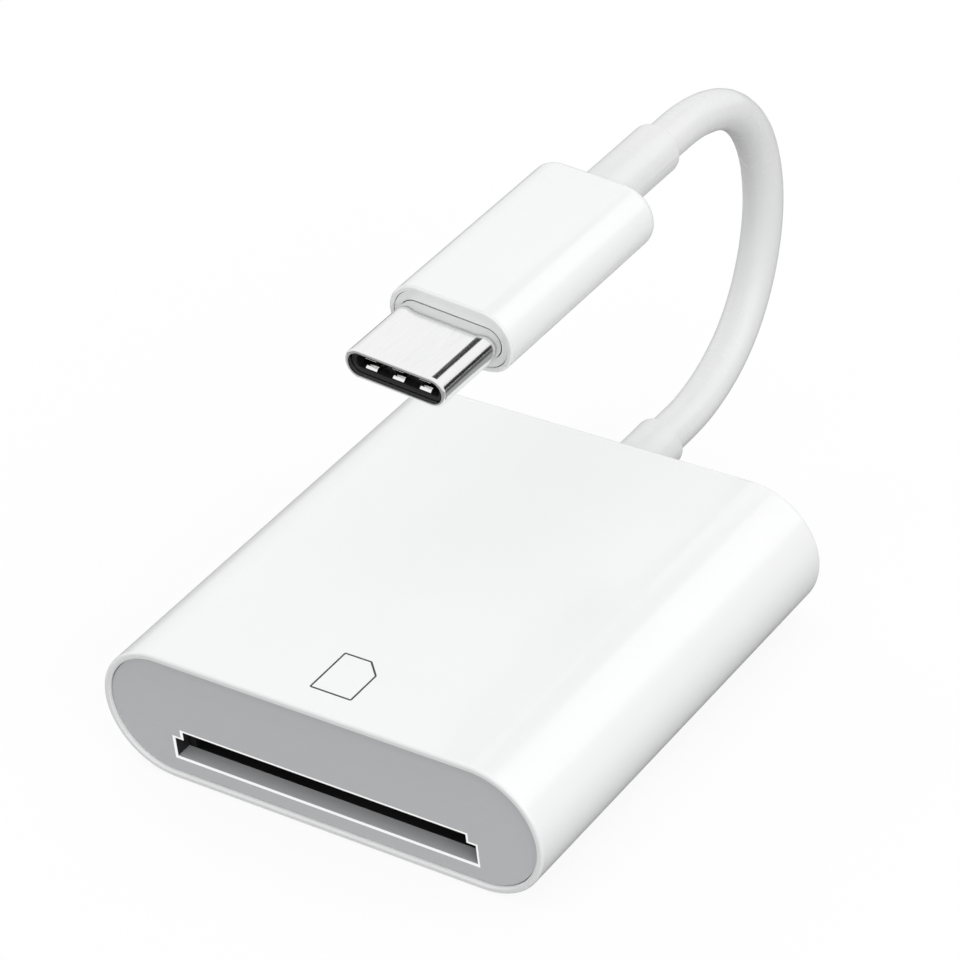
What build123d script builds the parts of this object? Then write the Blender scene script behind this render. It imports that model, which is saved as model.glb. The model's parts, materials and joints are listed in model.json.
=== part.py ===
from build123d import *
from math import sqrt, tan, radians
import os

# Memory card reader with a short captive lead and a reversible plug, in millimetres.
# +X is to the right, +Y to the rear and +Z up. The origin is the middle of the case's underside,
# and the card slot faces -Y.

# Case
case_width = 37.0
case_length = 36.4
case_height = 10.7
case_wall = 1.2
case_rear_wall = 1.4
case_rear_round = 0.35
rim_width = 0.54
rim_round = 0.25
rim_chamfer = 0.12
rail_reach = 0.9
rail_thickness = 0.8

# Front plate
plate_recess = 0.28
plate_thickness = 1.35
slot_floor_height = 1.9
slot_side_gap = 0.75
slot_top_gap = 0.2
slot_bevel_width = 0.2
slot_bevel_depth = 0.05

# Memory card that the slot and the socket take
card_width = 24.0
card_upper_width = 22.5
card_thickness = 2.1
card_flange_height = 1.4

# Card socket
card_depth = 24.4
card_guide_gap = 0.15
socket_side_wall = 1.05
socket_rear_wall = 1.0
cover_sheet = 0.2
cover_skirt = 1.6
cover_window_width = 6.0
cover_window_length = 9.0
cover_window_pitch = 13.2
cover_window_round = 0.5
ear_length = 2.4
ear_width = 1.3

# Spring contacts of the socket
contact_count = 9
contact_pitch = 2.5
contact_width = 0.8
contact_sheet = 0.15
contact_lift = 0.3
contact_point_depth = 3.0
contact_nose = 0.9
contact_foot = 1.1
contact_window_gap = 0.15
switch_spring_setback = 1.0
switch_spring_length = 7.0
switch_spring_height = 1.0
switch_spring_lift = 0.3

# Circuit board and what it carries
board_thickness = 1.0
board_side_gap = 0.2
board_rear_gap = 1.8
board_corner = 1.0
chip_size = 6.0
chip_height = 0.9
chip_offset = 5.7
chip_dot_diameter = 0.5
chip_dot_depth = 0.1
chip_dot_inset = 0.8
crystal_width = 3.2
crystal_length = 2.5
crystal_height = 0.8
crystal_gap = 1.2
lid_chamfer = 0.15
regulator_width = 2.9
regulator_length = 1.3
regulator_height = 1.0
regulator_pitch = 0.95
regulator_gap = 3.6
regulator_lead = 0.4
regulator_lead_height = 0.5
capacitor_length = 1.6
capacitor_width = 0.8
capacitor_height = 0.8
capacitor_count = 5
capacitor_pitch = 2.2
resistor_length = 1.0
resistor_width = 0.5
resistor_height = 0.35
resistor_count = 6
resistor_pitch = 1.5
row_gap = 1.2

# Lead
cable_diameter = 3.1
cable_stub = 1.0
wire_diameter = 0.7
wire_sides = 8
wire_count = 4
wire_pitch = 0.75
wire_pad_pitch = 1.6
wire_run = 2.8
wire_pad_length = 2.0
wire_bend = 0.7
boot_diameter = 4.0
boot_length = 8.0
boot_round = 0.3
boot_neck_diameter = 3.7
boot_flange_diameter = 6.0
boot_flange = 1.2

# Route of the lead's free stretch, from the case's boot to the plug's boot
cable_route = [
    (0, 26.2, 5.2),
    (0, 31.6, 5.2),
    (0, 37.0, 7.4),
    (0, 40.8, 11.7),
    (0, 42.8, 17.4),
    (0, 42.1, 23.3),
    (0, 38.8, 27.4),
    (0, 34.0, 29.15),
    (0, 29.0, 29.15),
]
arc_share = 0.45

# Plug, turned a little about its own axis as the lead leaves it
plug_roll = 5.5
shell_width = 8.25
shell_height = 2.4
shell_length = 6.65
shell_wall = 0.3
shell_tail = 2.7
shell_round = 0.2
housing_width = 10.2
housing_height = 5.0
housing_length = 18.6
housing_wall = 0.65
housing_rear_wall = 3.0
housing_rear_round = 0.9
housing_rim_width = 0.4
housing_rim_chamfer = 0.15
face_ring_recess = 0.1
face_ring_thickness = 1.0
mouth_width = 6.75
mouth_height = 0.96
mouth_depth = 5.6
mouth_round = 0.3
insulator_recess = 0.4
insulator_tail = 3.2

# Contacts and springs of the plug
pin_count = 12
pin_pitch = 0.5
pin_width = 0.26
pin_sheet = 0.14
pin_recess = 1.5
pin_tail = 3.0
pin_lift = 0.12
pin_nose = 0.6
ground_spring_sheet = 0.1
ground_spring_width = 0.9
ground_spring_length = 0.8
ground_spring_lift = 0.2
ground_spring_bar = 0.3
ground_spring_pitch = 2.2
ground_spring_count = 3
latch_sheet = 0.2
latch_height = 0.5
latch_lift = 0.25

# Small board, can and ferrule inside the plug's housing
paddle_width = 7.2
paddle_thickness = 0.6
plug_wire_run = 2.05
can_sheet = 0.2
can_end_gap = 0.55
ferrule_wall = 0.2
ferrule_length = 2.0
ferrule_gap = 0.3

# Clearances: bonded or pressed pieces, and sheet metal laid on a face
bond_gap = 0.05
seat_gap = 0.02

# Planes and sizes worked out from the ones above
case_front = -case_length / 2
case_rear = case_length / 2
case_middle = case_height / 2
cavity_width = case_width - 2 * case_wall
cavity_height = case_height - 2 * case_wall
cavity_radius = cavity_height / 2
cavity_rear = case_rear - case_rear_wall
plate_front = case_front + plate_recess
plate_rear = plate_front + plate_thickness
plate_width = case_width - 2 * rim_width - 2 * bond_gap
plate_height = case_height - 2 * rim_width - 2 * bond_gap
slot_top = slot_floor_height + card_thickness + slot_top_gap
slot_step = slot_floor_height + card_flange_height + slot_top_gap

socket_front = plate_rear + bond_gap
card_stop = socket_front + card_depth
socket_rear = card_stop + socket_rear_wall
socket_width = card_width + 2 * card_guide_gap + 2 * socket_side_wall
socket_bottom = case_wall + bond_gap
switch_middle = (slot_floor_height + slot_step) / 2
switch_rear = card_stop - switch_spring_setback
switch_front = switch_rear - switch_spring_length
cover_top = slot_top + seat_gap + cover_sheet

board_bottom = cover_top + seat_gap
board_top = board_bottom + board_thickness
board_front = plate_rear + bond_gap
board_rear = cavity_rear - board_rear_gap
board_length = board_rear - board_front
board_middle = (board_front + board_rear) / 2
board_rise = max(abs(board_bottom - case_middle), abs(board_top - case_middle))
board_reach = cavity_width / 2 - cavity_radius + sqrt(cavity_radius**2 - board_rise**2)
board_half_width = board_reach - board_side_gap

lead_height = cable_route[0][2]
boot_bore = cable_diameter + 2 * bond_gap
cable_case_end = cavity_rear - boot_flange - cable_stub
notch_front = cable_case_end - wire_run
notch_width = boot_flange_diameter

plug_height = cable_route[-1][2]
plug_face = cable_route[-1][1] - boot_length - housing_length
housing_inner_width = housing_width - 2 * housing_wall
housing_inner_height = housing_height - 2 * housing_wall
housing_cavity_end = housing_length - housing_rear_wall
ring_rear = face_ring_recess + face_ring_thickness
insulator_width = shell_width - 2 * shell_wall - 2 * bond_gap
insulator_height = shell_height - 2 * shell_wall - 2 * bond_gap
insulator_front = -shell_length + insulator_recess
mouth_end = insulator_front + mouth_depth
ferrule_rear = housing_cavity_end - ferrule_gap
cable_plug_end = ferrule_rear - ferrule_length - cable_stub
paddle_front = insulator_tail + bond_gap
paddle_rear = cable_plug_end - plug_wire_run
can_front = ring_rear + bond_gap
can_rear = cable_plug_end - can_end_gap
plug_place = Pos(0, plug_face, plug_height) * Rot(0, plug_roll, 0)


def along_y(section, front, rear, height=0.0):
    """Extrudes a section, drawn with X across and Z up, from the front plane to the rear plane."""
    face = Plane.XZ.offset(-rear) * Pos(0, height) * section
    return extrude(face, rear - front)


def block(low, high):
    """Makes a box from its lowest and its highest corner."""
    size = [b - a for a, b in zip(low, high)]
    centre = [(a + b) / 2 for a, b in zip(low, high)]
    return Pos(*centre) * Box(*size)


def centred_row(count, pitch):
    """Gives the places of a row of things along X, about the middle."""
    return [(i - (count - 1) / 2) * pitch for i in range(count)]


def strip_along(line, sheet, width):
    """Lays a strip of sheet along a line drawn in Y and Z, and gives it a width along X."""
    path = Wire(line.edges())
    outline = path.offset_2d(sheet, kind=Kind.INTERSECTION, side=Side.LEFT, closed=True)
    return extrude(Plane.YZ * Face(outline), width / 2, both=True)


def bent_strip(points, sheet, width):
    """Bends a strip of sheet through points given as (Y, Z), and gives it a width along X."""
    return strip_along(Polyline(*points), sheet, width)


def flat_strip(points, sheet, height):
    """Bends a strip of sheet through points given as (X, Y), and gives it a height along Z."""
    line = Wire(Polyline(*points).edges())
    outline = line.offset_2d(sheet, kind=Kind.INTERSECTION, side=Side.LEFT, closed=True)
    return extrude(Face(outline), height / 2, both=True)


def thin_wire(points):
    """Sweeps a wire's section along straight runs with mitred bends."""
    path = Polyline(*points)
    section = RegularPolygon(wire_diameter / 2, wire_sides)
    return sweep(Plane(path @ 0, z_dir=path % 0) * section, path=path, transition=Transition.RIGHT)


def slot_section(side_gap):
    """Draws the stepped card profile, wide below and narrow above, standing on its floor."""
    standing = (Align.CENTER, Align.MIN)
    lower = Rectangle(card_width + 2 * side_gap, slot_step - slot_floor_height, align=standing)
    upper = Rectangle(card_upper_width + 2 * side_gap, slot_top - slot_floor_height, align=standing)
    return lower + upper


def make_case_sleeve():
    """Moulded sleeve with round sides, a rear wall, a front rim and rails for the board."""
    sleeve = along_y(SlotOverall(case_width, case_height), case_front, case_rear, case_middle)
    sleeve = fillet(sleeve.faces().sort_by(Axis.Y)[-1].edges(), case_rear_round)
    sleeve = fillet(sleeve.faces().sort_by(Axis.Y)[0].edges(), rim_round)
    sleeve -= along_y(SlotOverall(cavity_width, cavity_height), case_front, cavity_rear, case_middle)
    pocket = SlotOverall(plate_width + 2 * bond_gap, plate_height + 2 * bond_gap)
    sleeve -= along_y(pocket, case_front, plate_rear, case_middle)
    rim = sleeve.faces().sort_by(Axis.Y)[0]
    sleeve = chamfer(rim.inner_wires()[0].edges(), rim_chamfer)
    sleeve -= along_y(Circle(boot_neck_diameter / 2 + bond_gap), cavity_rear, case_rear, lead_height)
    wall_middle = SlotOverall(cavity_width + case_wall, cavity_height + case_wall)
    core = along_y(wall_middle, plate_rear, cavity_rear, case_middle)
    lower_rail = board_bottom - bond_gap - rail_thickness
    upper_rail = board_top + bond_gap
    for bottom in (lower_rail, upper_rail):
        for side in (-1, 1):
            inner = side * (board_half_width - rail_reach)
            outer = side * case_width / 2
            low = (min(inner, outer), plate_rear, bottom)
            high = (max(inner, outer), cavity_rear, bottom + rail_thickness)
            sleeve += block(low, high) & core
    return sleeve


def make_front_plate():
    """Plate set into the rim, with the stepped slot and its cut edge."""
    plate = along_y(SlotOverall(plate_width, plate_height), plate_front, plate_rear, case_middle)
    plate -= along_y(slot_section(slot_side_gap), plate_front, plate_rear, slot_floor_height)
    front = plate.faces().sort_by(Axis.Y)[0]
    edges = front.inner_wires()[0].edges()
    return chamfer(edges, slot_bevel_width, slot_bevel_depth, reference=front)


def make_circuit_board():
    """Board in the sleeve's rails, notched at the rear for the lead."""
    outline = RectangleRounded(2 * board_half_width, board_length, board_corner)
    board = extrude(Pos(0, board_middle, board_bottom) * outline, board_thickness)
    low = (-notch_width / 2, notch_front, board_bottom)
    high = (notch_width / 2, board_rear, board_top)
    return board - block(low, high)


def make_card_socket_base():
    """Moulding with card guides, a card stop, contact windows and pockets for the switch springs."""
    height = slot_top - socket_bottom
    outer = Rectangle(socket_width, height, align=(Align.CENTER, Align.MIN))
    base = along_y(outer, socket_front, socket_rear, socket_bottom)
    base -= along_y(slot_section(card_guide_gap), socket_front, card_stop, slot_floor_height)
    half_window = contact_width / 2 + contact_window_gap
    window_front = card_stop - contact_point_depth - contact_nose - 2 * contact_window_gap
    for x in centred_row(contact_count, contact_pitch):
        low = (x - half_window, window_front, socket_bottom)
        base -= block(low, (x + half_window, socket_rear, slot_floor_height))
    half_pocket = switch_spring_height / 2 + contact_window_gap
    low = (-socket_width / 2, switch_front - contact_window_gap, switch_middle - half_pocket)
    high = (socket_width / 2, switch_rear + contact_window_gap, switch_middle + half_pocket)
    return base - block(low, high)


def make_card_socket_cover():
    """Folded steel cover over the socket, with skirts, windows and solder ears."""
    inner_width = socket_width + 2 * bond_gap
    outer_width = inner_width + 2 * cover_sheet
    height = cover_skirt + cover_sheet
    bottom = cover_top - height
    section = Rectangle(outer_width, height, align=(Align.CENTER, Align.MIN))
    section -= Rectangle(inner_width, cover_skirt, align=(Align.CENTER, Align.MIN))
    cover = along_y(section, socket_front, socket_rear, bottom)
    middle = (socket_front + socket_rear) / 2
    for side in (-1, 1):
        centre = Pos(side * cover_window_pitch / 2, middle, cover_top - cover_sheet)
        window = RectangleRounded(cover_window_width, cover_window_length, cover_window_round)
        cover -= extrude(centre * window, cover_sheet)
        for end in (socket_front + ear_length, socket_rear - ear_length):
            inner = side * inner_width / 2
            outer = side * (outer_width / 2 + ear_width)
            low = (min(inner, outer), end - ear_length / 2, cover_top - cover_sheet)
            cover += block(low, (max(inner, outer), end + ear_length / 2, cover_top))
    return cover


def make_card_contacts():
    """Bent springs, each with a foot under the board, a leg down the socket's rear and a raised nose."""
    leg = socket_rear + bond_gap + contact_sheet
    foot = board_bottom - seat_gap
    floor = socket_bottom + contact_sheet
    nose = card_stop - contact_point_depth
    points = [
        (leg + contact_foot, foot),
        (leg, foot),
        (leg, floor),
        (card_stop, floor),
        (nose, slot_floor_height + contact_lift),
        (nose - contact_nose, floor + contact_sheet),
    ]
    spring = bent_strip(points, contact_sheet, contact_width)
    return [Pos(x, 0, 0) * spring for x in centred_row(contact_count, contact_pitch)]


def make_card_switch_springs():
    """Leaf springs in the socket's side walls that feel the card and its lock tab."""
    springs = []
    for side in (-1, 1):
        outer = side * (socket_width / 2 - bond_gap)
        inner = side * (card_width / 2 + card_guide_gap - switch_spring_lift)
        middle = (switch_front + switch_rear) / 2
        points = [(outer, switch_rear), (inner, middle), (outer, switch_front)]
        strip = flat_strip(points if side < 0 else points[::-1], contact_sheet, switch_spring_height)
        springs.append(Pos(0, 0, switch_middle) * strip)
    return springs


def on_board(x, y):
    """Gives a place on top of the circuit board."""
    return Pos(x, y, board_top + seat_gap)


def make_controller_chip():
    """Flat square package with one corner marked."""
    body = extrude(Rectangle(chip_size, chip_size), chip_height)
    inset = chip_size / 2 - chip_dot_inset
    dot = Pos(-inset, inset, chip_height - chip_dot_depth) * Circle(chip_dot_diameter / 2)
    body -= extrude(dot, chip_dot_depth)
    return on_board(-chip_offset, board_middle) * body


def make_clock_crystal():
    """Metal-lidded crystal can."""
    body = extrude(Rectangle(crystal_width, crystal_length), crystal_height)
    body = chamfer(body.faces().sort_by(Axis.Z)[-1].edges(), lid_chamfer)
    reach = chip_size / 2 + crystal_gap + crystal_width / 2
    return on_board(-chip_offset - reach, board_middle) * body


def make_voltage_regulator():
    """Three-legged regulator."""
    middle = regulator_height / 2
    body = Pos(0, 0, middle) * Box(regulator_width, regulator_length, regulator_height)
    legs = [(-regulator_pitch, -1), (regulator_pitch, -1), (0, 1)]
    for x, side in legs:
        reach = regulator_length / 2 + regulator_lead
        low = (x - regulator_lead / 2, min(0, side * reach), 0)
        body += block(low, (x + regulator_lead / 2, max(0, side * reach), regulator_lead_height))
    return on_board(chip_offset, board_middle + regulator_gap) * body


def make_small_row(count, pitch, y, size):
    """Makes a row of small parts on the board, side by side along X."""
    body = Box(*size, align=(Align.CENTER, Align.CENTER, Align.MIN))
    return [on_board(chip_offset + x, y) * body for x in centred_row(count, pitch)]


def make_capacitors():
    """Row of ceramic capacitors."""
    size = (capacitor_width, capacitor_length, capacitor_height)
    return make_small_row(capacitor_count, capacitor_pitch, board_middle, size)


def make_resistors():
    """Row of chip resistors."""
    size = (resistor_width, resistor_length, resistor_height)
    behind = capacitor_length / 2 + row_gap + resistor_length / 2
    return make_small_row(resistor_count, resistor_pitch, board_middle - behind, size)


def make_case_lead_wires():
    """Insulated wires from the lead's end, over the notch's edge, to the board."""
    wires = []
    pad = board_top + seat_gap + wire_diameter / 2
    starts = centred_row(wire_count, wire_pitch)
    ends = centred_row(wire_count, wire_pad_pitch)
    for start, end in zip(starts, ends):
        points = [
            (start, cable_case_end, lead_height),
            (start, cable_case_end - wire_bend, lead_height),
            (end, notch_front + wire_bend, pad),
            (end, notch_front - wire_pad_length, pad),
        ]
        wires.append(thin_wire(points))
    return wires


def make_boot(points):
    """Turns a boot about the lead's axis from points given as (radius, distance)."""
    section = Plane.XY * make_face(Polyline(*points, close=True))
    boot = revolve(section, Axis.Y)
    return fillet(boot.edges().group_by(Axis.Y)[-1].sort_by(SortBy.RADIUS)[-1], boot_round)


def make_case_boot():
    """Strain relief at the case, with a flange behind the rear wall."""
    points = [
        (boot_bore / 2, cavity_rear - boot_flange),
        (boot_flange_diameter / 2, cavity_rear - boot_flange),
        (boot_flange_diameter / 2, cavity_rear),
        (boot_neck_diameter / 2, cavity_rear),
        (boot_neck_diameter / 2, case_rear),
        (boot_diameter / 2, case_rear),
        (boot_diameter / 2, case_rear + boot_length),
        (boot_bore / 2, case_rear + boot_length),
    ]
    return Pos(0, 0, lead_height) * make_boot(points)


def make_plug_boot():
    """Strain relief behind the plug, with a neck in the housing's rear wall."""
    boot_end = housing_length + boot_length
    points = [
        (boot_bore / 2, housing_cavity_end),
        (boot_neck_diameter / 2, housing_cavity_end),
        (boot_neck_diameter / 2, housing_length),
        (boot_diameter / 2, housing_length),
        (boot_diameter / 2, boot_end),
        (boot_bore / 2, boot_end),
    ]
    return Pos(0, plug_face, plug_height) * make_boot(points)


def make_cable():
    """Round lead: straight through the case's boot, along its route, and straight into the plug."""
    route = [Vector(*point) for point in cable_route]
    runs = [after - before for before, after in zip(route, route[1:])]
    radii = []
    for before, after in zip(runs, runs[1:]):
        shorter = min(before.length, after.length)
        radii.append(arc_share * shorter / tan(radians(before.get_angle(after)) / 2))
    free = FilletPolyline(*route, radius=radii)
    start = Line((0, cable_case_end, lead_height), route[0])
    end = Line(route[-1], (0, plug_face + cable_plug_end, plug_height))
    path = Wire([*start.edges(), *free.edges(), *end.edges()])
    cable = sweep(Plane(start @ 0, z_dir=start % 0) * Circle(cable_diameter / 2), path=path)
    print("bend radii", [round(radius, 1) for radius in radii])
    print("lead length", round(path.length, 2), "volume", round(cable.volume, 2))
    return cable


def make_plug_housing():
    """Oval plug body with a rounded rear end and a rim for the face ring."""
    body = along_y(SlotOverall(housing_width, housing_height), 0, housing_length)
    body = fillet(body.faces().sort_by(Axis.Y)[-1].edges(), housing_rear_round)
    body = chamfer(body.faces().sort_by(Axis.Y)[0].edges(), housing_rim_chamfer)
    body -= along_y(SlotOverall(housing_inner_width, housing_inner_height), 0, housing_cavity_end)
    rim = 2 * housing_rim_width
    body -= along_y(SlotOverall(housing_width - rim, housing_height - rim), 0, ring_rear)
    return body - along_y(Circle(boot_neck_diameter / 2 + bond_gap), housing_cavity_end, housing_length)


def make_plug_face_ring():
    """Insert in the housing's front, round the shell."""
    rim = 2 * housing_rim_width + 2 * bond_gap
    ring = along_y(SlotOverall(housing_width - rim, housing_height - rim), face_ring_recess, ring_rear)
    hole = SlotOverall(shell_width + 2 * bond_gap, shell_height + 2 * bond_gap)
    return ring - along_y(hole, face_ring_recess, ring_rear)


def make_plug_shell():
    """Drawn steel shell with round ends and a rounded mouth."""
    shell = along_y(SlotOverall(shell_width, shell_height), -shell_length, shell_tail)
    shell = fillet(shell.faces().sort_by(Axis.Y)[0].edges(), shell_round)
    inner = SlotOverall(shell_width - 2 * shell_wall, shell_height - 2 * shell_wall)
    return shell - along_y(inner, -shell_length, shell_tail)


def make_plug_insulator():
    """Moulding inside the shell, with the mouth and a slit for each row of contacts."""
    body = along_y(SlotOverall(insulator_width, insulator_height), insulator_front, insulator_tail)
    body -= along_y(RectangleRounded(mouth_width, mouth_height, mouth_round), insulator_front, mouth_end)
    slit_height = pin_sheet + 2 * seat_gap
    slit = Rectangle(pin_count * pin_pitch + pin_pitch, slit_height)
    for side in (-1, 1):
        centre = side * (mouth_height / 2 - seat_gap - pin_sheet / 2)
        body -= along_y(slit, mouth_end, insulator_tail, centre)
    return body


def make_plug_contacts(turn):
    """Row of contacts on one face of the mouth, with a raised nose and tails on the small board."""
    front = insulator_front + pin_recess
    face = mouth_height / 2 - seat_gap
    points = [
        (front, face),
        (front + pin_nose, face - pin_lift),
        (mouth_end, face),
        (insulator_tail + pin_tail, face),
    ]
    pin = bent_strip(points[::-1], pin_sheet, pin_width)
    return [Rot(0, turn, 0) * Pos(x, 0, 0) * pin for x in centred_row(pin_count, pin_pitch)]


def make_plug_ground_springs():
    """Bowed spring fingers just inside the mouth, on both of its faces, joined behind by a bar."""
    front = insulator_front + ground_spring_sheet
    face = mouth_height / 2 - seat_gap
    bar_front = front + ground_spring_length
    bar_rear = bar_front + ground_spring_bar
    crest = ((front + bar_front) / 2, face - ground_spring_lift)
    bow = ThreePointArc((bar_front, face), crest, (front, face))
    finger = strip_along(bow, ground_spring_sheet, ground_spring_width)
    bar_width = (ground_spring_count - 1) * ground_spring_pitch + ground_spring_width
    low = (-bar_width / 2, bar_front, face - ground_spring_sheet)
    comb = block(low, (bar_width / 2, bar_rear, face))
    for x in centred_row(ground_spring_count, ground_spring_pitch):
        comb += Pos(x, 0, 0) * finger
    return [comb, Rot(0, 180, 0) * comb]


def make_plug_latch_springs():
    """Side springs along the mouth, each with a raised catch."""
    springs = []
    front = insulator_front + pin_recess
    rear = mouth_end - seat_gap
    catch = front + latch_lift * 2
    for side in (-1, 1):
        wall = side * (mouth_width / 2 - seat_gap)
        raised = wall - side * latch_lift
        points = [(wall, rear), (wall, catch + latch_lift * 2), (raised, catch), (wall, front)]
        strip = flat_strip(points if side < 0 else points[::-1], latch_sheet, latch_height)
        springs.append(strip)
    return springs


def make_plug_circuit_board():
    """Small board between the tails of the two contact rows."""
    return along_y(Rectangle(paddle_width, paddle_thickness), paddle_front, paddle_rear)


def make_plug_back_shell():
    """Steel can round the shell's tail and the small board."""
    inner_width = shell_width + 2 * bond_gap
    inner_height = shell_height + 2 * bond_gap
    outer = SlotOverall(inner_width + 2 * can_sheet, inner_height + 2 * can_sheet)
    can = along_y(outer, can_front, can_rear)
    return can - along_y(SlotOverall(inner_width, inner_height), can_front, can_rear)


def make_plug_cable_ferrule():
    """Crimped ring on the lead's end inside the plug."""
    bore = cable_diameter / 2 + bond_gap
    ring = Circle(bore + ferrule_wall) - Circle(bore)
    return along_y(ring, ferrule_rear - ferrule_length, ferrule_rear)


def make_plug_lead_wires():
    """Wires from the lead's end to the two faces of the small board."""
    wires = []
    pad = paddle_thickness / 2 + seat_gap + wire_diameter / 2
    for level in (-pad, pad):
        for side in (-1, 1):
            start = side * wire_pitch / 2
            end = side * wire_pad_pitch / 2
            points = [
                (start, cable_plug_end, level),
                (start, cable_plug_end - wire_bend, level),
                (end, paddle_rear, level),
                (end, paddle_rear - wire_pad_length, level),
            ]
            wires.append(thin_wire(points))
    return wires


case_pieces = {
    "case_sleeve": make_case_sleeve(),
    "front_plate": make_front_plate(),
    "circuit_board": make_circuit_board(),
    "card_socket_base": make_card_socket_base(),
    "card_socket_cover": make_card_socket_cover(),
    "card_contacts": make_card_contacts(),
    "card_switch_springs": make_card_switch_springs(),
    "controller_chip": make_controller_chip(),
    "clock_crystal": make_clock_crystal(),
    "voltage_regulator": make_voltage_regulator(),
    "capacitors": make_capacitors(),
    "resistors": make_resistors(),
    "case_lead_wires": make_case_lead_wires(),
    "case_boot": make_case_boot(),
    "cable": make_cable(),
    "plug_boot": make_plug_boot(),
}

plug_pieces = {
    "plug_housing": make_plug_housing(),
    "plug_face_ring": make_plug_face_ring(),
    "plug_shell": make_plug_shell(),
    "plug_insulator": make_plug_insulator(),
    "plug_contacts_upper": make_plug_contacts(0),
    "plug_contacts_lower": make_plug_contacts(180),
    "plug_ground_springs": make_plug_ground_springs(),
    "plug_latch_springs": make_plug_latch_springs(),
    "plug_circuit_board": make_plug_circuit_board(),
    "plug_back_shell": make_plug_back_shell(),
    "plug_cable_ferrule": make_plug_cable_ferrule(),
    "plug_lead_wires": make_plug_lead_wires(),
}


def save(name, shapes, place):
    """Writes one node, of one solid or of several alike, at its place."""
    group = shapes if isinstance(shapes, list) else [shapes]
    solids = [solid for shape in group for solid in (place * shape).solids()]
    node = solids[0] if len(solids) == 1 else Compound(children=solids)
    export_step(node, os.path.join("parts", name + ".step"))


os.makedirs("parts", exist_ok=True)
for name, shapes in case_pieces.items():
    save(name, shapes, Pos(0, 0, 0))
for name, shapes in plug_pieces.items():
    save(name, shapes, plug_place)
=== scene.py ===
"""Studio scene of a memory card reader with a short captive lead and a reversible plug."""

import json
import logging
import math
from collections.abc import Sequence
from dataclasses import dataclass
from enum import Enum
from typing import Any

import bpy
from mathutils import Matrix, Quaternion, Vector


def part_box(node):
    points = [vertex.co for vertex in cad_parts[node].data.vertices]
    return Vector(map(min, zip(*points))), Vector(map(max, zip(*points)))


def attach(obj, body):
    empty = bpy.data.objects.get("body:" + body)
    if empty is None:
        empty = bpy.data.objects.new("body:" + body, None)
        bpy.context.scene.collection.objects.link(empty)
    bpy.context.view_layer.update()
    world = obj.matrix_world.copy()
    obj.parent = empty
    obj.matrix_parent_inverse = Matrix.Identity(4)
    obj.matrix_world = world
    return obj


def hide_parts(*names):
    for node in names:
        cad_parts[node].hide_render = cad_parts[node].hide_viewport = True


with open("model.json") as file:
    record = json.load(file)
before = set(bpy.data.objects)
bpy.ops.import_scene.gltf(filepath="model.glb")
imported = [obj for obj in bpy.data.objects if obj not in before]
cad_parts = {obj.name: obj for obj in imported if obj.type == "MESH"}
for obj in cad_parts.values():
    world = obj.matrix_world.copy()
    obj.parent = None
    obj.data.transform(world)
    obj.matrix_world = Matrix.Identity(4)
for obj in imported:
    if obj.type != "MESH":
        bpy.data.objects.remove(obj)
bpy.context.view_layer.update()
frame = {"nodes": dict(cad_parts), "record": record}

Point = tuple[float, float, float]
Colour = tuple[float, float, float, float]

MILLIMETRES = 1000.0
BODY = "root"

FLAG_BLACK: Colour = (0.03, 0.03, 0.03, 1)
FLAG_DARK: Colour = (0.1, 0.1, 0.1, 1)
FLAG_GRAY: Colour = (0.35, 0.35, 0.35, 1)

log = logging.getLogger("card_reader")


class Slot(Enum):
    """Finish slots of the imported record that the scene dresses."""

    WHITE_PLASTIC = "white_plastic"
    PLATE_METAL = "plate_metal"
    WHITE_RUBBER = "white_rubber"
    PLUG_STEEL = "plug_steel"
    BLACK_PLASTIC = "black_plastic"
    SHEET_STEEL = "sheet_steel"
    CONTACT_GOLD = "contact_gold"
    BOARD_GREEN = "board_green"
    CERAMIC = "ceramic"
    WIRE_PLASTIC = "wire_plastic"


class Axis(Enum):
    """Direction that a drawn or brushed grain runs in."""

    ACROSS = (0.05, 1.0, 1.0)
    ALONG = (1.0, 0.05, 1.0)


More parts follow.
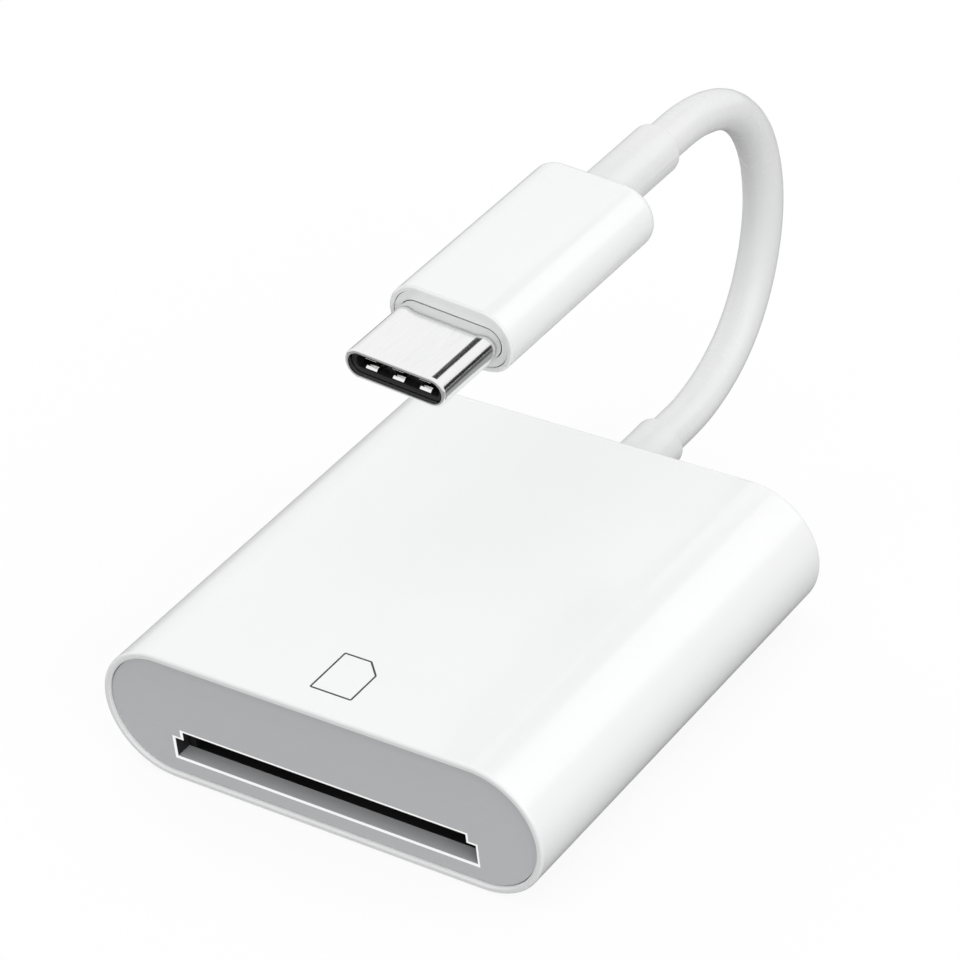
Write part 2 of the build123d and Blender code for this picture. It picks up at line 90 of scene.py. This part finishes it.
class Bench:
    """Adds nodes to one node tree and joins them."""

    def __init__(self, tree: bpy.types.NodeTree) -> None:
        """Takes the tree and empties it.

        Args:
            tree: the node tree to fill.
        """
        self.tree = tree
        self.tree.nodes.clear()

    def join(self, node: bpy.types.Node, inputs: dict[str | int, Any]) -> None:
        """Sets a node's inputs, or joins them to other nodes.

        Args:
            node: the node whose inputs are meant.
            inputs: a value or an output socket for each input, by name or number.
        """
        for key, value in inputs.items():
            if isinstance(value, bpy.types.NodeSocket):
                self.tree.links.new(value, node.inputs[key])
            else:
                node.inputs[key].default_value = value

    def add(
        self,
        kind: str,
        inputs: dict[str | int, Any] | None = None,
        **settings: Any,
    ) -> bpy.types.Node:
        """Adds one node.

        Args:
            kind: the node's type name.
            inputs: a value or an output socket for each input, by name or number.
            settings: the node's own properties.

        Returns:
            The new node.
        """
        node = self.tree.nodes.new(kind)
        for name, value in settings.items():
            setattr(node, name, value)
        self.join(node, inputs or {})
        return node

    def noise(self, vector: Any, scale: Any, detail: float, rough: float = 0.5) -> Any:
        """Gives a noise value.

        Args:
            vector: where it is read, in millimetres.
            scale: features to the millimetre.
            detail: number of finer layers.
            rough: strength of the finer layers.

        Returns:
            The output socket of the value.
        """
        inputs = {"Vector": vector, "Scale": scale, "Detail": detail, "Roughness": rough}
        return self.add("ShaderNodeTexNoise", inputs).outputs[0]

    def spread(self, value: Any, low: Any, high: Any, to_low: Any, to_high: Any) -> Any:
        """Maps a value from one range to another and keeps it there.

        Args:
            value: the value to map.
            low: lower end of its range.
            high: upper end of its range.
            to_low: what the lower end becomes.
            to_high: what the upper end becomes.

        Returns:
            The output socket of the mapped value.
        """
        inputs = {0: value, 1: low, 2: high, 3: to_low, 4: to_high}
        return self.add("ShaderNodeMapRange", inputs, clamp=True).outputs[0]

    def calc(self, kind: str, first: Any, second: Any = 0.0) -> Any:
        """Works out one step of arithmetic.

        Args:
            kind: the operation, such as ADD or MULTIPLY.
            first: the first value.
            second: the second value.

        Returns:
            The output socket of the result.
        """
        return self.add("ShaderNodeMath", {0: first, 1: second}, operation=kind).outputs[0]

    def blend(self, share: Any, first: Any, second: Any) -> Any:
        """Mixes two colours.

        Args:
            share: how much of the second colour there is.
            first: the first colour.
            second: the second colour.

        Returns:
            The output socket of the mixed colour.
        """
        inputs = {0: share, 6: first, 7: second}
        return self.add("ShaderNodeMix", inputs, data_type="RGBA").outputs[2]


def new_group(
    name: str,
    kind: str,
    inputs: dict[str, str],
    outputs: dict[str, str],
) -> tuple[Bench, bpy.types.Node, bpy.types.Node]:
    """Starts a node group with named sockets.

    Args:
        name: the group's name.
        kind: the tree's type name.
        inputs: the type of each input socket, by name.
        outputs: the type of each output socket, by name.

    Returns:
        The bench, the group's input node and its output node.
    """
    tree = bpy.data.node_groups.new(name, kind)
    for label, socket in inputs.items():
        tree.interface.new_socket(label, in_out="INPUT", socket_type=socket)
    for label, socket in outputs.items():
        tree.interface.new_socket(label, in_out="OUTPUT", socket_type=socket)
    bench = Bench(tree)
    return bench, bench.add("NodeGroupInput"), bench.add("NodeGroupOutput")


@dataclass
class Effects:
    """Surface effects that several finishes share, each a shader node group.

    Scales are in features to the millimetre.
    """

    flow_scale: float = 0.09
    flow_low: float = 0.35
    flow_high: float = 0.65
    cloud_scale: float = 0.4
    lines_low: float = 0.3
    lines_high: float = 0.7
    scratch_turns: Sequence[float] = (0.35, 1.1, -0.7)
    scratch_stretch: Point = (0.12, 6.0, 1.0)
    scratch_fade: float = 0.08

    def __post_init__(self) -> None:
        """Builds every group once."""
        self.moulded_skin = self._moulded_skin()
        self.drawn_grain = self._drawn_grain()
        self.hairlines = self._hairlines()

    def _start(self, name: str) -> tuple[Bench, bpy.types.Node, bpy.types.Node]:
        """Starts a group that gives a colour, a roughness and a height.

        Args:
            name: the group's name.

        Returns:
            The bench, the group's input node and its output node.
        """
        colour, number = "NodeSocketColor", "NodeSocketFloat"
        inputs = {
            "Vector": "NodeSocketVector",
            "Colour": colour,
            "Shade": colour,
            "Fineness": number,
            "Gloss": number,
            "Gloss Range": number,
        }
        outputs = {"Colour": colour, "Roughness": number, "Height": number}
        return new_group(name, "ShaderNodeTree", inputs, outputs)

    def _moulded_skin(self) -> bpy.types.NodeTree:
        """Builds the skin that a spark-eroded mould leaves on plastic.

        Returns:
            The group, which gives a colour, a roughness and a height.
        """
        bench, given, made = self._start("moulded_skin")
        vector = given.outputs["Vector"]
        flow = bench.noise(vector, self.flow_scale, detail=3.0)
        grain = bench.noise(vector, given.outputs["Fineness"], detail=2.0, rough=0.6)
        mottle = bench.spread(flow, self.flow_low, self.flow_high, 0.0, 1.0)
        both = bench.calc("ADD", mottle, grain)
        swing = bench.calc("MULTIPLY", both, given.outputs["Gloss Range"])
        result = {
            "Colour": bench.blend(mottle, given.outputs["Colour"], given.outputs["Shade"]),
            "Roughness": bench.calc("ADD", given.outputs["Gloss"], swing),
            "Height": grain,
        }
        bench.join(made, result)
        return bench.tree

    def _drawn_grain(self) -> bpy.types.NodeTree:
        """Builds the long fine lines that drawing, rolling or brushing leaves in metal.

        Returns:
            The group, which gives a colour, a roughness and a height.
        """
        bench, given, made = self._start("drawn_grain")
        vector = given.outputs["Vector"]
        lines = bench.noise(vector, given.outputs["Fineness"], detail=4.0, rough=0.7)
        cloud = bench.noise(vector, self.cloud_scale, detail=2.0)
        bands = bench.spread(lines, self.lines_low, self.lines_high, 0.0, 1.0)
        mean = bench.calc("MULTIPLY", bench.calc("ADD", bands, cloud), 0.5)
        swing = bench.calc("MULTIPLY", bands, given.outputs["Gloss Range"])
        result = {
            "Colour": bench.blend(mean, given.outputs["Colour"], given.outputs["Shade"]),
            "Roughness": bench.calc("ADD", given.outputs["Gloss"], swing),
            "Height": lines,
        }
        bench.join(made, result)
        return bench.tree

    def _hairlines(self) -> bpy.types.NodeTree:
        """Builds sparse hairline scratches from handling.

        Returns:
            The group, which gives a mask of the scratches.
        """
        bench, given, made = new_group(
            "hairlines",
            "ShaderNodeTree",
            {"Vector": "NodeSocketVector", "Threshold": "NodeSocketFloat"},
            {"Mask": "NodeSocketFloat"},
        )
        threshold = given.outputs["Threshold"]
        end = bench.calc("ADD", threshold, self.scratch_fade)
        mask: Any = 0.0
        for turn in self.scratch_turns:
            inputs = {
                "Vector": given.outputs["Vector"],
                "Rotation": (0.0, 0.0, turn),
                "Scale": self.scratch_stretch,
            }
            turned = bench.add("ShaderNodeMapping", inputs).outputs[0]
            streak = bench.noise(turned, 1.0, detail=1.0)
            mask = bench.calc("MAXIMUM", mask, bench.spread(streak, threshold, end, 0.0, 1.0))
        bench.join(made, {"Mask": mask})
        return bench.tree


def bare_material(name: str) -> tuple[bpy.types.Material, Bench]:
    """Starts a material with no nodes in it.

    Args:
        name: the material's name.

    Returns:
        The material and its bench.
    """
    material = bpy.data.materials.new(name)
    material.use_nodes = True
    return material, Bench(material.node_tree)


def new_material(name: str) -> tuple[bpy.types.Material, Bench, bpy.types.Node, Any]:
    """Starts a material with its shader and its place on the piece.

    Args:
        name: the material's name.

    Returns:
        The material, its bench, its shader node and the place in millimetres.
    """
    material, bench = bare_material(name)
    shader = bench.add("ShaderNodeBsdfPrincipled")
    bench.add("ShaderNodeOutputMaterial", {"Surface": shader.outputs[0]})
    place = bench.add("ShaderNodeTexCoord").outputs["Object"]
    scale = {"Vector": place, "Scale": (MILLIMETRES,) * 3}
    return material, bench, shader, bench.add("ShaderNodeMapping", scale).outputs[0]


@dataclass(frozen=True)
class MouldedFinish:
    """Moulded plastic or rubber."""

    name: str
    colour: Colour
    shade: Colour
    grain: float
    gloss: float
    gloss_range: float
    depth: float
    coat: float = 0.0
    coat_rough: float = 0.1
    ior: float = 1.46
    relief: float = 0.5
    scratch_from: float = 0.7
    scratch_dulling: float = 0.05

    def material(self, effects: Effects) -> bpy.types.Material:
        """Makes the finish's material.

        Args:
            effects: the shared effects.

        Returns:
            The material.
        """
        material, bench, shader, place = new_material(self.name)
        inputs = {
            "Vector": place,
            "Colour": self.colour,
            "Shade": self.shade,
            "Fineness": self.grain,
            "Gloss": self.gloss,
            "Gloss Range": self.gloss_range,
        }
        skin = bench.add("ShaderNodeGroup", inputs, node_tree=effects.moulded_skin)
        inputs = {"Vector": place, "Threshold": self.scratch_from}
        scratches = bench.add("ShaderNodeGroup", inputs, node_tree=effects.hairlines)
        dulled = bench.calc("MULTIPLY", scratches.outputs["Mask"], self.scratch_dulling)
        bump = bench.add(
            "ShaderNodeBump",
            {"Height": skin.outputs["Height"], "Distance": self.depth, "Strength": self.relief},
        )
        result = {
            "Base Color": skin.outputs["Colour"],
            "Roughness": bench.calc("ADD", skin.outputs["Roughness"], dulled),
            "Normal": bump.outputs[0],
            "IOR": self.ior,
            "Coat Weight": self.coat,
            "Coat Roughness": self.coat_rough,
        }
        bench.join(shader, result)
        return material


@dataclass(frozen=True)
class MetalFinish:
    """Drawn, rolled or brushed metal, which may have a bright cut edge and end walls painted
    near-black as shade.
    """

    name: str
    colour: Colour
    shade: Colour
    axis: Axis
    lines: float
    gloss: float
    gloss_range: float
    depth: float
    metallic: float = 1.0
    relief: float = 0.4
    cut_edge: Colour | None = None
    cut_gloss: float = 0.2
    cut_from: float = 0.9
    cut_to: float = 0.99
    # Colour painted on the slot's end walls as the shade deep in the slot; None paints none.
    end_wall_painted_shade: Colour | None = None
    end_from: float = 0.9
    end_reach: float = 13.5

    def material(self, effects: Effects) -> bpy.types.Material:
        """Makes the finish's material.

        Args:
            effects: the shared effects.

        Returns:
            The material.
        """
        material, bench, shader, place = new_material(self.name)
        stretch = {"Vector": place, "Scale": self.axis.value}
        inputs = {
            "Vector": bench.add("ShaderNodeMapping", stretch).outputs[0],
            "Colour": self.colour,
            "Shade": self.shade,
            "Fineness": self.lines,
            "Gloss": self.gloss,
            "Gloss Range": self.gloss_range,
        }
        grain = bench.add("ShaderNodeGroup", inputs, node_tree=effects.drawn_grain)
        colour, rough = grain.outputs["Colour"], grain.outputs["Roughness"]
        metal: Any = self.metallic
        if self.cut_edge is not None:
            cut = self._cut_mask(bench)
            colour = bench.blend(cut, colour, self.cut_edge)
            rough = bench.spread(cut, 0.0, 1.0, rough, self.cut_gloss)
            metal = bench.spread(cut, 0.0, 1.0, self.metallic, 1.0)
        # Painted shade: the slot's end walls take a near-black colour for the shade deep in the
        # slot.
        if self.end_wall_painted_shade is not None:
            colour = bench.blend(self._end_shade_mask(bench, place), colour, self.end_wall_painted_shade)
        bump = bench.add(
            "ShaderNodeBump",
            {"Height": grain.outputs["Height"], "Distance": self.depth, "Strength": self.relief},
        )
        result = {
            "Base Color": colour,
            "Roughness": rough,
            "Metallic": metal,
            "Normal": bump.outputs[0],
        }
        bench.join(shader, result)
        return material

    def _facing(self, bench: Bench, axis: int) -> Any:
        """Finds how squarely a face looks along an axis, either way.

        Args:
            bench: the material's bench.
            axis: 0 for across, 1 for front to back.

        Returns:
            The output socket of a value from 0 to 1.
        """
        normal = bench.add("ShaderNodeNewGeometry").outputs["True Normal"]
        part = bench.add("ShaderNodeSeparateXYZ", {0: normal}).outputs[axis]
        return bench.calc("ABSOLUTE", part)

    def _cut_mask(self, bench: Bench) -> Any:
        """Finds the bevelled cut edge, whose faces lean a little from the front.

        Args:
            bench: the material's bench.

        Returns:
            The output socket of the mask.
        """
        facing = self._facing(bench, 1)
        above = bench.calc("GREATER_THAN", facing, self.cut_from)
        below = bench.calc("LESS_THAN", facing, self.cut_to)
        return bench.calc("MULTIPLY", above, below)

    def _end_shade_mask(self, bench: Bench, place: Any) -> Any:
        """Finds the upright walls at the slot's two ends, which get painted shade.

        Args:
            bench: the material's bench.
            place: the place on the piece in millimetres.

        Returns:
            The output socket of the mask.
        """
        aside = bench.add("ShaderNodeSeparateXYZ", {0: place}).outputs[0]
        upright = bench.calc("GREATER_THAN", self._facing(bench, 0), self.end_from)
        within = bench.calc("LESS_THAN", bench.calc("ABSOLUTE", aside), self.end_reach)
        return bench.calc("MULTIPLY", upright, within)


FINISHES: dict[Slot, MouldedFinish | MetalFinish] = {
    Slot.WHITE_PLASTIC: MouldedFinish(
        "white_moulding",
        colour=(0.885, 0.89, 0.888, 1), shade=(0.875, 0.882, 0.882, 1),
        grain=9.0, gloss=0.13, gloss_range=0.05, depth=0.000006, coat=0.3, coat_rough=0.05,
    ),
    Slot.WHITE_RUBBER: MouldedFinish(
        "white_lead_rubber",
        colour=(0.79, 0.793, 0.792, 1), shade=(0.765, 0.77, 0.77, 1),
        grain=12.0, gloss=0.22, gloss_range=0.06, depth=0.000004, coat=0.2, coat_rough=0.1,
    ),
    Slot.BLACK_PLASTIC: MouldedFinish(
        "black_socket_plastic",
        colour=(0.007, 0.007, 0.0075, 1), shade=(0.012, 0.012, 0.0125, 1),
        grain=14.0, gloss=0.45, gloss_range=0.1, depth=0.000008,
    ),
    Slot.WIRE_PLASTIC: MouldedFinish(
        "wire_insulation",
        colour=(0.55, 0.05, 0.04, 1), shade=(0.45, 0.035, 0.03, 1),
        grain=14.0, gloss=0.4, gloss_range=0.06, depth=0.000005,
    ),
    Slot.BOARD_GREEN: MouldedFinish(
        "board_mask",
        colour=(0.012, 0.12, 0.045, 1), shade=(0.02, 0.17, 0.06, 1),
        grain=4.0, gloss=0.3, gloss_range=0.08, depth=0.000006, coat=0.3,
    ),
    Slot.CERAMIC: MouldedFinish(
        "fired_ceramic",
        colour=(0.34, 0.24, 0.15, 1), shade=(0.26, 0.18, 0.11, 1),
        grain=16.0, gloss=0.5, gloss_range=0.08, depth=0.000006,
    ),
    Slot.PLATE_METAL: MetalFinish(
        "satin_plate",
        colour=(0.6, 0.605, 0.616, 1), shade=(0.57, 0.576, 0.588, 1),
        axis=Axis.ACROSS, lines=12.0, gloss=0.42, gloss_range=0.12, depth=0.000003,
        # The near-black end walls are painted shade at the slot's two ends.
        metallic=0.1, cut_edge=(0.96, 0.96, 0.965, 1), end_wall_painted_shade=(0.02, 0.02, 0.021, 1),
    ),
    Slot.PLUG_STEEL: MetalFinish(
        "drawn_shell_steel",
        colour=(0.94, 0.94, 0.943, 1), shade=(0.86, 0.86, 0.866, 1),
        axis=Axis.ALONG, lines=10.0, gloss=0.1, gloss_range=0.08, depth=0.000002,
    ),
    Slot.SHEET_STEEL: MetalFinish(
        "rolled_cover_steel",
        colour=(0.66, 0.65, 0.63, 1), shade=(0.57, 0.56, 0.55, 1),
        axis=Axis.ALONG, lines=8.0, gloss=0.25, gloss_range=0.12, depth=0.000003,
    ),
    Slot.CONTACT_GOLD: MetalFinish(
        "contact_plating",
        colour=(0.93, 0.7, 0.32, 1), shade=(0.85, 0.6, 0.25, 1),
        axis=Axis.ALONG, lines=9.0, gloss=0.2, gloss_range=0.1, depth=0.000002,
    ),
}

MARK_INK = MouldedFinish(
    "printed_ink",
    colour=(0.035, 0.035, 0.038, 1), shade=(0.06, 0.06, 0.063, 1),
    grain=20.0, gloss=0.5, gloss_range=0.08, depth=0.000003,
)


def new_object(name: str, data: bpy.types.ID) -> bpy.types.Object:
    """Makes an object and puts it in the scene.

    Args:
        name: the object's name.
        data: its mesh, curve, lamp or camera.

    Returns:
        The object.
    """
    made = bpy.data.objects.new(name, data)
    bpy.context.scene.collection.objects.link(made)
    return made


def new_card(
    name: str,
    corners: Sequence[Sequence[float]],
    material: bpy.types.Material,
) -> bpy.types.Object:
    """Makes a flat card with four corners for the stage.

    Args:
        name: the card's name.
        corners: its corners in order.
        material: its material.

    Returns:
        The card's object.
    """
    mesh = bpy.data.meshes.new(name)
    mesh.from_pydata(corners, [], [(0, 1, 2, 3)])
    mesh.materials.append(material)
    return new_object(name, mesh)


def dress(piece: bpy.types.Object, material: bpy.types.Material) -> None:
    """Gives a piece its material in place of any other."""
    piece.data.materials.clear()
    piece.data.materials.append(material)


def keep(piece: bpy.types.Object) -> None:
    """Fixes a made piece to the object's body.

    Args:
        piece: the made piece, in place.
    """
    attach(piece, BODY)
    log.info("made %s", piece.name)


@dataclass
class Solids:
    """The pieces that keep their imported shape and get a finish."""

    materials: dict[Slot, bpy.types.Material]

    def dress_all(self) -> None:
        """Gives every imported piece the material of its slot."""
        for entry in frame["record"]["subparts"]:
            material = self.materials[Slot(entry["material_slot"])]
            dress(frame["nodes"][entry["node"]], material)
            log.info("dressed %s in %s", entry["node"], material.name)


@dataclass
class CardMark:
    """Printed outline of a card on the case's top, with one corner cut."""

    material: bpy.types.Material
    line_width: float = 0.00014
    ink: float = 0.00001
    corner: float = 0.00008
    corner_steps: int = 4
    outline: Sequence[tuple[float, float]] = (
        (-0.00134, 0.00229),
        (-0.00134, 0.00641),
        (0.00086, 0.00641),
        (0.00205, 0.00525),
        (0.00205, 0.00229),
    )

    def build(self) -> bpy.types.Object:
        """Lays the printed line on the case's top.

        Returns:
            The mark's object.
        """
        low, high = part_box("case_sleeve")
        points = [(x, low.y + y, high.z) for x, y in self.outline]
        count = len(points)
        mesh = bpy.data.meshes.new("card_mark")
        mesh.from_pydata(points, [(i, (i + 1) % count) for i in range(count)], [])
        mark = new_object("card_mark", mesh)
        self._apply(mark)
        keep(mark)
        return mark

    def _tree(self) -> bpy.types.NodeTree:
        """Builds the tree that turns an outline into a printed line.

        Returns:
            The tree, whose sizes are named inputs.
        """
        bench, given, made = new_group(
            "printed_line",
            "GeometryNodeTree",
            {
                "Outline": "NodeSocketGeometry",
                "Line Width": "NodeSocketFloat",
                "Ink Thickness": "NodeSocketFloat",
                "Corner Radius": "NodeSocketFloat",
                "Ink": "NodeSocketMaterial",
            },
            {"Line": "NodeSocketGeometry"},
        )
        path = bench.add("GeometryNodeMeshToCurve", {0: given.outputs["Outline"]})
        radius = given.outputs["Corner Radius"]
        bent = bench.add(
            "GeometryNodeFilletCurve",
            {0: path.outputs[0], "Radius": radius, "Count": self.corner_steps},
            mode="POLY",
        )
        level = bench.add("GeometryNodeSetCurveNormal", {0: bent.outputs[0]}, mode="Z_UP")
        section = bench.add(
            "GeometryNodeCurvePrimitiveQuadrilateral",
            {"Width": given.outputs["Line Width"], "Height": given.outputs["Ink Thickness"]},
        )
        line = bench.add(
            "GeometryNodeCurveToMesh",
            {"Curve": level.outputs[0], "Profile Curve": section.outputs[0]},
        )
        real = bench.add("GeometryNodeRealizeInstances", {0: line.outputs[0]})
        inked = bench.add(
            "GeometryNodeSetMaterial",
            {"Geometry": real.outputs[0], "Material": given.outputs["Ink"]},
        )
        bench.join(made, {"Line": inked.outputs[0]})
        return bench.tree

    def _apply(self, mark: bpy.types.Object) -> None:
        """Runs the tree on the outline and keeps the result as a plain mesh.

        Args:
            mark: the object that holds the outline.
        """
        modifier = mark.modifiers.new("printed_line", "NODES")
        modifier.node_group = self._tree()
        values = {
            "Line Width": self.line_width,
            "Ink Thickness": self.ink,
            "Corner Radius": self.corner,
            "Ink": self.material,
        }
        for item in modifier.node_group.interface.items_tree:
            if item.name in values and item.in_out == "INPUT":
                modifier[item.identifier] = values[item.name]
        graph = bpy.context.evaluated_depsgraph_get()
        result = bpy.data.meshes.new_from_object(mark.evaluated_get(graph))
        mark.modifiers.clear()
        mark.data = result


@dataclass
class Lead:
    """Round lead from the case to the plug, in place of the imported cable."""

    material: bpy.types.Material
    diameter: float = 0.0031
    length: float = 0.0696
    exit: Point = (0.0, 0.0182, 0.0052)
    path_steps: int = 16
    section_steps: int = 10
    route: Sequence[tuple[float, float]] = (
        (0.0146, 0.0052),
        (0.0262, 0.0052),
        (0.0316, 0.0052),
        (0.0370, 0.0074),
        (0.0408, 0.0117),
        (0.0428, 0.0174),
        (0.0421, 0.0233),
        (0.0388, 0.0274),
        (0.0340, 0.02915),
        (0.0290, 0.02915),
        (0.0147, 0.02915),
    )

    def build(self) -> bpy.types.Object:
        """Returns:
            The lead's object.
        """
        curve = bpy.data.curves.new("lead", "CURVE")
        curve.dimensions = "3D"
        curve.resolution_u = self.path_steps
        curve.bevel_depth = self.diameter / 2
        curve.bevel_resolution = self.section_steps
        curve.use_fill_caps = True
        spline = curve.splines.new("NURBS")
        spline.points.add(len(self.route) - 1)
        for point, (rear, height) in zip(spline.points, self.route):
            point.co = (0.0, rear, height, 1.0)
        spline.order_u = 3
        spline.use_endpoint_u = True
        spline.use_smooth = True
        lead = new_object("lead", curve)
        dress(lead, self.material)
        keep(lead)
        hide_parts("cable")
        return lead


@dataclass(frozen=True)
class Softbox:
    """Square or oblong studio lamp aimed at a point."""

    name: str
    place: Point
    width: float
    height: float
    watts: float
    aim: Point = (0.0, 0.0, 0.01)

    def build(self) -> None:
        """Hangs the lamp in the scene, where gloss shows only the white surroundings."""
        lamp = bpy.data.lights.new(self.name, "AREA")
        lamp.shape = "RECTANGLE"
        lamp.size = self.width
        lamp.size_y = self.height
        lamp.energy = self.watts
        holder = new_object(self.name, lamp)
        holder.location = self.place
        towards = Vector(self.aim) - Vector(self.place)
        holder.rotation_mode = "QUATERNION"
        holder.rotation_quaternion = towards.to_track_quat("-Z", "Y")
        holder.visible_glossy = False


@dataclass(frozen=True)
class Flag:
    """Dark card that only gloss and bright metal mirror, so that white edges stand out."""

    name: str
    place: Point
    aim: Point
    width: float
    height: float
    colour: Colour = FLAG_BLACK

    def build(self) -> None:
        """Stands the card in the scene, hidden from the camera."""
        half, rise = self.width / 2, self.height / 2
        corners = [(-half, -rise, 0), (half, -rise, 0), (half, rise, 0), (-half, rise, 0)]
        facing = (Vector(self.aim) - Vector(self.place)).to_track_quat("Z", "Y")
        points = [facing @ Vector(corner) + Vector(self.place) for corner in corners]
        material, bench = bare_material(self.name)
        cloth = bench.add("ShaderNodeBsdfDiffuse", {"Color": self.colour})
        bench.add("ShaderNodeOutputMaterial", {"Surface": cloth.outputs[0]})
        card = new_card(self.name, points, material)
        card.visible_camera = False
        card.visible_diffuse = False
        card.visible_shadow = False


@dataclass
class Studio:
    """Camera, pale floor, soft lamps and white surroundings."""

    camera_place: Point = (0.148303, -0.186109, 0.182159)
    camera_aim: Point = (-0.005185, 0.01031, 0.01)
    camera_roll: float = -6.895
    lens: float = 156.71
    sensor: float = 36.0
    clip_near: float = 0.01
    clip_far: float = 20.0
    floor_half: float = 3.0
    floor_drop: float = 0.00005
    floor_colour: Colour = (0.32, 0.32, 0.32, 1)
    floor_shown: Colour = (0.95, 0.95, 0.95, 1)
    floor_white: float = 0.88
    ambient: float = 0.66
    wall_shade: float = 0.8
    wall_top: float = 0.5
    lamps: Sequence[Softbox] = (
        Softbox("top_softbox", (0.1, 0.05, 0.9), width=1.2, height=1.2, watts=1.0),
        Softbox("front_softbox", (-0.1, -0.6, 0.13), width=0.5, height=0.25, watts=0.25),
        Softbox("right_softbox", (0.51, -0.1, 0.28), width=0.8, height=0.25, watts=1.97),
        Softbox("left_softbox", (-0.55, 0.11, 0.17), width=0.4, height=0.3, watts=1.2),
        Softbox("back_softbox", (-0.1, 0.6, 0.12), width=0.4, height=0.3, watts=0.4),
    )
    flags: Sequence[Flag] = (
        Flag("rear_flag", (0.34, 0.3, 0.06), aim=(0.0, 0.0, 0.03), width=0.3, height=0.16),
        Flag("overhead_flag", (-0.04, 0.25, 0.335), aim=(0.0, -0.01, 0.03), width=0.16, height=0.1),
        Flag(
            "right_floor_flag", (0.16, 0.16, 0.0002), aim=(0.16, 0.16, 1.0),
            width=0.2, height=0.24, colour=FLAG_DARK,
        ),
        Flag(
            "rear_floor_flag", (0.0, 0.131, 0.0001), aim=(0.0, 0.131, 1.0),
            width=0.5, height=0.298, colour=FLAG_GRAY,
        ),
        Flag(
            "front_floor_flag", (0.0, -0.141, 0.0001), aim=(0.0, -0.141, 1.0),
            width=0.5, height=0.22, colour=FLAG_GRAY,
        ),
    )

    def build(self) -> None:
        """Sets up the whole studio."""
        bpy.context.scene.view_settings.view_transform = "Standard"
        self._camera()
        self._floor()
        self._surroundings()
        for lamp in self.lamps:
            lamp.build()
        for flag in self.flags:
            flag.build()
        log.info("studio with %d lamps and %d flags", len(self.lamps), len(self.flags))

    def _camera(self) -> None:
        """Places the camera at the photograph's viewing angle."""
        data = bpy.data.cameras.new("studio_camera")
        data.lens = self.lens
        data.sensor_width = self.sensor
        data.clip_start = self.clip_near
        data.clip_end = self.clip_far
        camera = new_object("studio_camera", data)
        place = Vector(self.camera_place)
        back = (place - Vector(self.camera_aim)).normalized()
        turn = Quaternion(back, math.radians(self.camera_roll))
        camera.location = place
        camera.rotation_mode = "QUATERNION"
        camera.rotation_quaternion = turn @ (-back).to_track_quat("-Z", "Y")
        bpy.context.scene.camera = camera

    def _seen(self, bench: Bench) -> tuple[Any, Any]:
        """Finds the rays that show the background: to the camera, or by way of metal or glass.

        Args:
            bench: the bench of the floor or the surroundings.

        Returns:
            The output sockets of two values, which are 1 for such rays and 0 for others.
        """
        path = bench.add("ShaderNodeLightPath").outputs
        mirrored = bench.calc("MAXIMUM", path["Is Glossy Ray"], path["Is Transmission Ray"])
        return path["Is Camera Ray"], mirrored

    def _floor(self) -> None:
        """Lays a pale floor that shows white, keeps the shadow and is clear from below."""
        material, bench = bare_material("pale_floor")
        seen = bench.calc("MAXIMUM", *self._seen(bench))
        colour = bench.blend(seen, self.floor_colour, self.floor_shown)
        paint = bench.add("ShaderNodeBsdfDiffuse", {"Color": colour})
        white = bench.add("ShaderNodeEmission", {"Strength": 1.0})
        share = bench.calc("MULTIPLY", seen, self.floor_white)
        shown = bench.add(
            "ShaderNodeMixShader", {0: share, 1: paint.outputs[0], 2: white.outputs[0]}
        )
        clear = bench.add("ShaderNodeBsdfTransparent")
        under = bench.add("ShaderNodeNewGeometry").outputs["Backfacing"]
        sided = bench.add(
            "ShaderNodeMixShader", {0: under, 1: shown.outputs[0], 2: clear.outputs[0]}
        )
        bench.add("ShaderNodeOutputMaterial", {"Surface": sided.outputs[0]})
        size, level = self.floor_half, -self.floor_drop
        corners = [(-size, -size), (size, -size), (size, size), (-size, size)]
        new_card("floor", [(x, y, level) for x, y in corners], material)

    def _surroundings(self) -> None:
        """Makes the surroundings white to the camera and an even light to the object.

        What gloss and metal mirror is white overhead and a little grayer towards the floor,
        as studio walls are.
        """
        world = bpy.data.worlds.new("studio_white")
        world.use_nodes = True
        bench = Bench(world.node_tree)
        to_camera, mirrored = self._seen(bench)
        direction = bench.add("ShaderNodeTexCoord").outputs["Generated"]
        height = bench.add("ShaderNodeSeparateXYZ", {0: direction}).outputs[2]
        wall = bench.spread(height, 0.0, self.wall_top, self.wall_shade, 1.0)
        around = bench.spread(mirrored, 0.0, 1.0, self.ambient, wall)
        strength = bench.spread(to_camera, 0.0, 1.0, around, 1.0)
        sky = bench.add("ShaderNodeBackground", {"Color": (1, 1, 1, 1), "Strength": strength})
        bench.add("ShaderNodeOutputWorld", {"Surface": sky.outputs[0]})
        bpy.context.scene.world = world


def main() -> None:
    """Builds the studio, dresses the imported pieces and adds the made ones."""
    logging.basicConfig(level=logging.INFO, format="%(message)s")
    Studio().build()
    effects = Effects()
    materials = {slot: finish.material(effects) for slot, finish in FINISHES.items()}
    Lead(materials[Slot.WHITE_RUBBER]).build()
    Solids(materials).dress_all()
    CardMark(MARK_INK.material(effects)).build()


if __name__ == "__main__":
    main()
